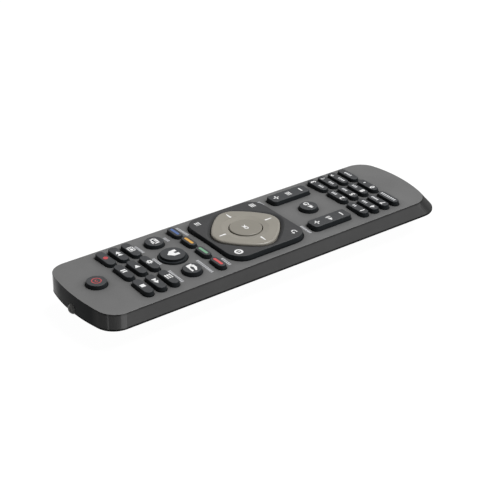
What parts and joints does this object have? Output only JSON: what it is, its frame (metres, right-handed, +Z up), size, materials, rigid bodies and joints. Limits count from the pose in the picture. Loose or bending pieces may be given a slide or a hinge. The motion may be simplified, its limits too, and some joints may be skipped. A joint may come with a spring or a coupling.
{
  "type": "tv remote control",
  "caption": "Handheld infrared remote control with pressable keys, tilting rockers, a tilting navigation pad, inner electronics and a sliding battery door.",
  "frame": {"origin": "on the ground under the middle of the whole object, lying on its back", "axes": "+Y along the body to the infrared end, +Z up out of the key face, +X across the body towards the higher digits of a row"},
  "size_m": [0.048, 0.186, 0.0215],
  "materials": {
    "case_grey": "fine satin, moulded grey",
    "base_black": "matt black",
    "key_rubber": "matt, lacquered dark grey",
    "pad_dark": "matt dark grey",
    "ring_grey": "satin warm grey",
    "mat_rubber": "soft silicone",
    "diode_clear": "clear epoxy",
    "board_green": "green solder mask",
    "chip_black": "moulded epoxy",
    "resonator_blue": "dipped coating",
    "sleeve_black": "shrink sleeve",
    "screw_steel": "zinc plated",
    "contact_nickel": "nickel plated",
    "cell_jacket": "metallised printed jacket without text"
  },
  "bodies": {
    "casing": {"upper_housing": "case_grey", "lower_housing": "base_black", "keypad_mat": "mat_rubber", "ir_led": "diode_clear", "circuit_board": "board_green", "controller_chip": "chip_black", "chip_parts": "chip_black", "resonator": "resonator_blue", "capacitor": "sleeve_black", "board_screws": "screw_steel", "battery_1": "cell_jacket", "battery_2": "cell_jacket", "front_contact": "contact_nickel", "front_spring": "contact_nickel", "tail_contact": "contact_nickel"},
    "power_key": {"power_key": "key_rubber"},
    "stop_key": {"stop_key": "key_rubber"},
    "pause_key": {"pause_key": "key_rubber"},
    "record_key": {"record_key": "key_rubber"},
    "rewind_key": {"rewind_key": "key_rubber"},
    "play_key": {"play_key": "key_rubber"},
    "forward_key": {"forward_key": "key_rubber"},
    "guide_key": {"guide_key": "key_rubber"},
    "setup_key": {"setup_key": "key_rubber"},
    "format_key": {"format_key": "key_rubber"},
    "home_key": {"home_key": "key_rubber"},
    "source_key": {"source_key": "key_rubber"},
    "list_key": {"list_key": "key_rubber"},
    "red_key": {"red_key": "key_rubber"},
    "green_key": {"green_key": "key_rubber"},
    "yellow_key": {"yellow_key": "key_rubber"},
    "blue_key": {"blue_key": "key_rubber"},
    "mute_key": {"mute_key": "key_rubber"},
    "key_1": {"key_1": "key_rubber"},
    "key_2": {"key_2": "key_rubber"},
    "key_3": {"key_3": "key_rubber"},
    "key_4": {"key_4": "key_rubber"},
    "key_5": {"key_5": "key_rubber"},
    "key_6": {"key_6": "key_rubber"},
    "key_7": {"key_7": "key_rubber"},
    "key_8": {"key_8": "key_rubber"},
    "key_9": {"key_9": "key_rubber"},
    "subtitle_key": {"subtitle_key": "key_rubber"},
    "key_0": {"key_0": "key_rubber"},
    "text_key": {"text_key": "key_rubber"},
    "ok_key": {"ok_key": "ring_grey"},
    "volume_rocker": {"volume_rocker": "key_rubber"},
    "channel_rocker": {"channel_rocker": "key_rubber"},
    "pad_seat": {"pad_seat": "mat_rubber"},
    "nav_pad": {"nav_pad": "pad_dark"},
    "ring_seat": {"ring_seat": "mat_rubber"},
    "nav_ring": {"nav_ring": "ring_grey"},
    "battery_door": {"battery_door": "base_black"}
  },
  "joints": [
    {"name": "battery_door_slide", "type": "slide", "parent": "casing", "child": "battery_door", "axis": [0, -1, 0], "range_m": [0, 0.068]},
    {"name": "volume_rocker_tilt", "type": "hinge", "parent": "casing", "child": "volume_rocker", "pos_m": [-0.01425, -0.03083, 0.0158], "axis": [1, 0, 0], "range_deg": [-3, 3], "stiffness_Nm_per_rad": 0.1},
    {"name": "channel_rocker_tilt", "type": "hinge", "parent": "casing", "child": "channel_rocker", "pos_m": [0.01425, -0.03083, 0.0158], "axis": [1, 0, 0], "range_deg": [-3, 3], "stiffness_Nm_per_rad": 0.1},
    {"name": "pad_seat_tilt", "type": "hinge", "parent": "casing", "child": "pad_seat", "pos_m": [0, 0.00407, 0.0158], "axis": [0.7071, 0.7071, 0], "range_deg": [-1.2, 1.2], "stiffness_Nm_per_rad": 0.6},
    {"name": "nav_pad_tilt", "type": "hinge", "parent": "pad_seat", "child": "nav_pad", "pos_m": [0, 0.00407, 0.0158], "axis": [0.7071, -0.7071, 0], "range_deg": [-1.2, 1.2], "stiffness_Nm_per_rad": 0.6},
    {"name": "ring_seat_tilt", "type": "hinge", "parent": "casing", "child": "ring_seat", "pos_m": [0, 0.00407, 0.0158], "axis": [1, 0, 0], "range_deg": [-2, 2], "stiffness_Nm_per_rad": 0.25},
    {"name": "nav_ring_tilt", "type": "hinge", "parent": "ring_seat", "child": "nav_ring", "pos_m": [0, 0.00407, 0.0158], "axis": [0, 1, 0], "range_deg": [-2, 2], "stiffness_Nm_per_rad": 0.25},
    {"name": "ok_key_press", "type": "slide", "parent": "casing", "child": "ok_key", "axis": [0, 0, -1], "range_m": [0, 0.0008], "stiffness_N_per_m": 1000},
    {"name": "power_key_press", "type": "slide", "parent": "casing", "child": "power_key", "axis": [0, 0, -1], "range_m": [0, 0.0008], "stiffness_N_per_m": 1000},
    {"name": "stop_key_press", "type": "slide", "parent": "casing", "child": "stop_key", "axis": [0, 0, -1], "range_m": [0, 0.0008], "stiffness_N_per_m": 1000},
    {"name": "pause_key_press", "type": "slide", "parent": "casing", "child": "pause_key", "axis": [0, 0, -1], "range_m": [0, 0.0008], "stiffness_N_per_m": 1000},
    {"name": "record_key_press", "type": "slide", "parent": "casing", "child": "record_key", "axis": [0, 0, -1], "range_m": [0, 0.0008], "stiffness_N_per_m": 1000},
    {"name": "rewind_key_press", "type": "slide", "parent": "casing", "child": "rewind_key", "axis": [0, 0, -1], "range_m": [0, 0.0008], "stiffness_N_per_m": 1000},
    {"name": "play_key_press", "type": "slide", "parent": "casing", "child": "play_key", "axis": [0, 0, -1], "range_m": [0, 0.0008], "stiffness_N_per_m": 1000},
    {"name": "forward_key_press", "type": "slide", "parent": "casing", "child": "forward_key", "axis": [0, 0, -1], "range_m": [0, 0.0008], "stiffness_N_per_m": 1000},
    {"name": "guide_key_press", "type": "slide", "parent": "casing", "child": "guide_key", "axis": [0, 0, -1], "range_m": [0, 0.0008], "stiffness_N_per_m": 1000},
    {"name": "setup_key_press", "type": "slide", "parent": "casing", "child": "setup_key", "axis": [0, 0, -1], "range_m": [0, 0.0008], "stiffness_N_per_m": 1000},
    {"name": "format_key_press", "type": "slide", "parent": "casing", "child": "format_key", "axis": [0, 0, -1], "range_m": [0, 0.0008], "stiffness_N_per_m": 1000},
    {"name": "home_key_press", "type": "slide", "parent": "casing", "child": "home_key", "axis": [0, 0, -1], "range_m": [0, 0.0008], "stiffness_N_per_m": 1000},
    {"name": "source_key_press", "type": "slide", "parent": "casing", "child": "source_key", "axis": [0, 0, -1], "range_m": [0, 0.0008], "stiffness_N_per_m": 1000},
    {"name": "list_key_press", "type": "slide", "parent": "casing", "child": "list_key", "axis": [0, 0, -1], "range_m": [0, 0.0008], "stiffness_N_per_m": 1000},
    {"name": "red_key_press", "type": "slide", "parent": "casing", "child": "red_key", "axis": [0, 0, -1], "range_m": [0, 0.0008], "stiffness_N_per_m": 1000},
    {"name": "green_key_press", "type": "slide", "parent": "casing", "child": "green_key", "axis": [0, 0, -1], "range_m": [0, 0.0008], "stiffness_N_per_m": 1000},
    {"name": "yellow_key_press", "type": "slide", "parent": "casing", "child": "yellow_key", "axis": [0, 0, -1], "range_m": [0, 0.0008], "stiffness_N_per_m": 1000},
    {"name": "blue_key_press", "type": "slide", "parent": "casing", "child": "blue_key", "axis": [0, 0, -1], "range_m": [0, 0.0008], "stiffness_N_per_m": 1000},
    {"name": "mute_key_press", "type": "slide", "parent": "casing", "child": "mute_key", "axis": [0, 0, -1], "range_m": [0, 0.0008], "stiffness_N_per_m": 1000},
    {"name": "key_1_press", "type": "slide", "parent": "casing", "child": "key_1", "axis": [0, 0, -1], "range_m": [0, 0.0008], "stiffness_N_per_m": 1000},
    {"name": "key_2_press", "type": "slide", "parent": "casing", "child": "key_2", "axis": [0, 0, -1], "range_m": [0, 0.0008], "stiffness_N_per_m": 1000},
    {"name": "key_3_press", "type": "slide", "parent": "casing", "child": "key_3", "axis": [0, 0, -1], "range_m": [0, 0.0008], "stiffness_N_per_m": 1000},
    {"name": "key_4_press", "type": "slide", "parent": "casing", "child": "key_4", "axis": [0, 0, -1], "range_m": [0, 0.0008], "stiffness_N_per_m": 1000},
    {"name": "key_5_press", "type": "slide", "parent": "casing", "child": "key_5", "axis": [0, 0, -1], "range_m": [0, 0.0008], "stiffness_N_per_m": 1000},
    {"name": "key_6_press", "type": "slide", "parent": "casing", "child": "key_6", "axis": [0, 0, -1], "range_m": [0, 0.0008], "stiffness_N_per_m": 1000},
    {"name": "key_7_press", "type": "slide", "parent": "casing", "child": "key_7", "axis": [0, 0, -1], "range_m": [0, 0.0008], "stiffness_N_per_m": 1000},
    {"name": "key_8_press", "type": "slide", "parent": "casing", "child": "key_8", "axis": [0, 0, -1], "range_m": [0, 0.0008], "stiffness_N_per_m": 1000},
    {"name": "key_9_press", "type": "slide", "parent": "casing", "child": "key_9", "axis": [0, 0, -1], "range_m": [0, 0.0008], "stiffness_N_per_m": 1000},
    {"name": "subtitle_key_press", "type": "slide", "parent": "casing", "child": "subtitle_key", "axis": [0, 0, -1], "range_m": [0, 0.0008], "stiffness_N_per_m": 1000},
    {"name": "key_0_press", "type": "slide", "parent": "casing", "child": "key_0", "axis": [0, 0, -1], "range_m": [0, 0.0008], "stiffness_N_per_m": 1000},
    {"name": "text_key_press", "type": "slide", "parent": "casing", "child": "text_key", "axis": [0, 0, -1], "range_m": [0, 0.0008], "stiffness_N_per_m": 1000}
  ]
}
